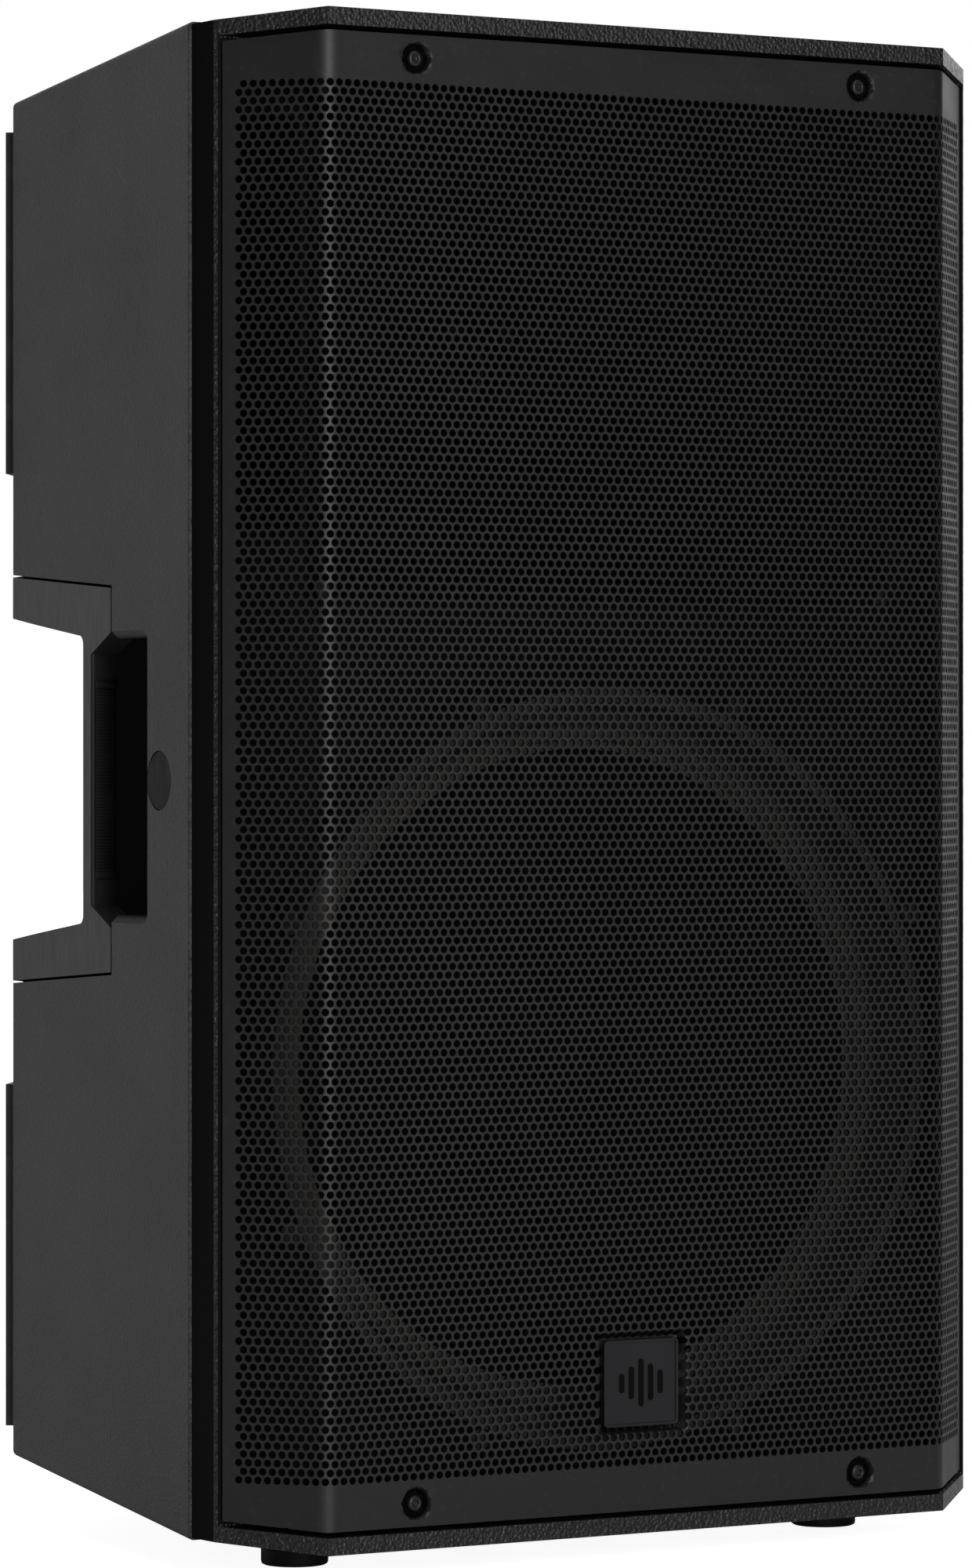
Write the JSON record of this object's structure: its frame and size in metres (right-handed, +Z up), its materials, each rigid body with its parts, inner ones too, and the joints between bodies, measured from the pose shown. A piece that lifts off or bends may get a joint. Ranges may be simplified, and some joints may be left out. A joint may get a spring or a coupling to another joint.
{
  "type": "pa speaker cabinet",
  "caption": "Portable two-way loudspeaker cabinet with a folded perforated grille, side handles, pole socket and rear amplifier panel.",
  "frame": {"origin": "on the surface the feet stand on, under the middle of the cabinet", "axes": "+X to the right seen from the front, -Y towards the listener, +Z up"},
  "size_m": [0.4228, 0.385, 0.7065],
  "materials": {
    "shell_plastic": "fine leather-grain moulded polypropylene compound",
    "frame_plastic": "coarse-grained moulded front",
    "handle_plastic": "smooth satin moulding",
    "grille_steel": "powder-coated perforated steel",
    "black_screw": "black oxide",
    "badge": "satin badge",
    "rubber": "matt rubber",
    "basket_metal": "black painted casting",
    "ferrite": "sintered ferrite",
    "zinc_steel": "zinc-plated steel",
    "cone_paper": "doped paper",
    "coil_copper": "enamelled copper on a former",
    "treated_cloth": "resin-treated cloth",
    "horn_plastic": "moulded ABS",
    "aluminium_cast": "cast aluminium",
    "diaphragm": "thin titanium or aluminium dome",
    "duct_plastic": "moulded duct",
    "brass_insert": "turned brass",
    "amp_panel": "powder-coated aluminium panel",
    "sink_black": "black anodised",
    "gasket_foam": "closed-cell foam",
    "connector_black": "glass-filled nylon",
    "latch_metal": "nickel-plated tab",
    "pin_metal": "gold-plated pins",
    "rocker": "rocker",
    "knob": "soft-touch knob",
    "button": "grey key cap",
    "switch_case": "switch body",
    "led": "indicator lens",
    "circuit_board": "green solder mask",
    "transformer": "taped toroid",
    "capacitor": "sleeved can",
    "chip": "epoxy package",
    "fleece": "polyester fleece"
  },
  "bodies": {
    "cabinet": {"cabinet_shell": "shell_plastic", "front_baffle": "frame_plastic", "front_grille": "grille_steel", "grille_screws": "black_screw", "badge_plate": "badge", "woofer_basket": "basket_metal", "woofer_gasket": "gasket_foam", "woofer_screws": "black_screw", "woofer_top_plate": "zinc_steel", "woofer_magnet": "ferrite", "woofer_pole_yoke": "zinc_steel", "woofer_surround": "treated_cloth", "woofer_spider": "treated_cloth", "woofer_terminal": "connector_black", "horn_waveguide": "horn_plastic", "horn_screws": "black_screw", "driver_body": "aluminium_cast", "driver_rear_cover": "horn_plastic", "driver_phase_plug": "aluminium_cast", "right_port_duct": "duct_plastic", "left_port_duct": "duct_plastic", "right_handle_frame": "handle_plastic", "left_handle_frame": "handle_plastic", "right_handle_grip": "rubber", "left_handle_grip": "rubber", "side_plugs": "handle_plastic", "rigging_inserts": "brass_insert", "rubber_feet": "rubber", "foot_screws": "black_screw", "right_corner_rails": "rubber", "left_corner_rails": "rubber", "pole_socket": "handle_plastic", "amp_gasket": "gasket_foam", "amp_plate": "amp_panel", "amp_screws": "black_screw", "heat_sink": "sink_black", "combo_input": "connector_black", "xlr_output": "connector_black", "xlr_pins": "pin_metal", "power_inlet": "connector_black", "power_outlet": "connector_black", "rocker_housing": "connector_black", "volume_pot": "switch_case", "push_switches": "switch_case", "status_leds": "led", "amp_board": "circuit_board", "power_transformer": "transformer", "power_capacitors": "capacitor", "output_devices": "chip", "acoustic_fleece": "fleece"},
    "woofer_moving": {"woofer_cone": "cone_paper", "woofer_voice_coil": "coil_copper", "woofer_dust_cap": "cone_paper"},
    "driver_moving": {"driver_diaphragm": "diaphragm"},
    "volume_knob": {"volume_knob": "knob"},
    "power_rocker": {"power_rocker": "rocker"},
    "preset_button": {"preset_button": "button"},
    "ground_lift_button": {"ground_lift_button": "button"},
    "combo_latch": {"combo_latch": "latch_metal"}
  },
  "joints": [
    {"name": "woofer_stroke", "type": "slide", "parent": "cabinet", "child": "woofer_moving", "axis": [0, -1, 0], "range_m": [-0.006, 0.006], "stiffness_N_per_m": 3500, "deforming": ["woofer_surround", "woofer_spider"]},
    {"name": "driver_stroke", "type": "slide", "parent": "cabinet", "child": "driver_moving", "axis": [0, -1, 0], "range_m": [-0.0004, 0.0004], "stiffness_N_per_m": 8000},
    {"name": "volume_turn", "type": "hinge", "parent": "cabinet", "child": "volume_knob", "pos_m": [-0.05, 0.1775, 0.262], "axis": [0, 1, 0], "range_deg": [-150, 150]},
    {"name": "power_rocker_tilt", "type": "hinge", "parent": "cabinet", "child": "power_rocker", "pos_m": [0.052, 0.1745, 0.136], "axis": [-1, 0, 0], "range_deg": [0, 16]},
    {"name": "preset_press", "type": "slide", "parent": "cabinet", "child": "preset_button", "axis": [0, -1, 0], "range_m": [0, 0.0015], "stiffness_N_per_m": 300},
    {"name": "ground_lift_press", "type": "slide", "parent": "cabinet", "child": "ground_lift_button", "axis": [0, -1, 0], "range_m": [0, 0.0015], "stiffness_N_per_m": 300},
    {"name": "combo_latch_press", "type": "slide", "parent": "cabinet", "child": "combo_latch", "axis": [0, -1, 0], "range_m": [0, 0.0015], "stiffness_N_per_m": 300}
  ]
}
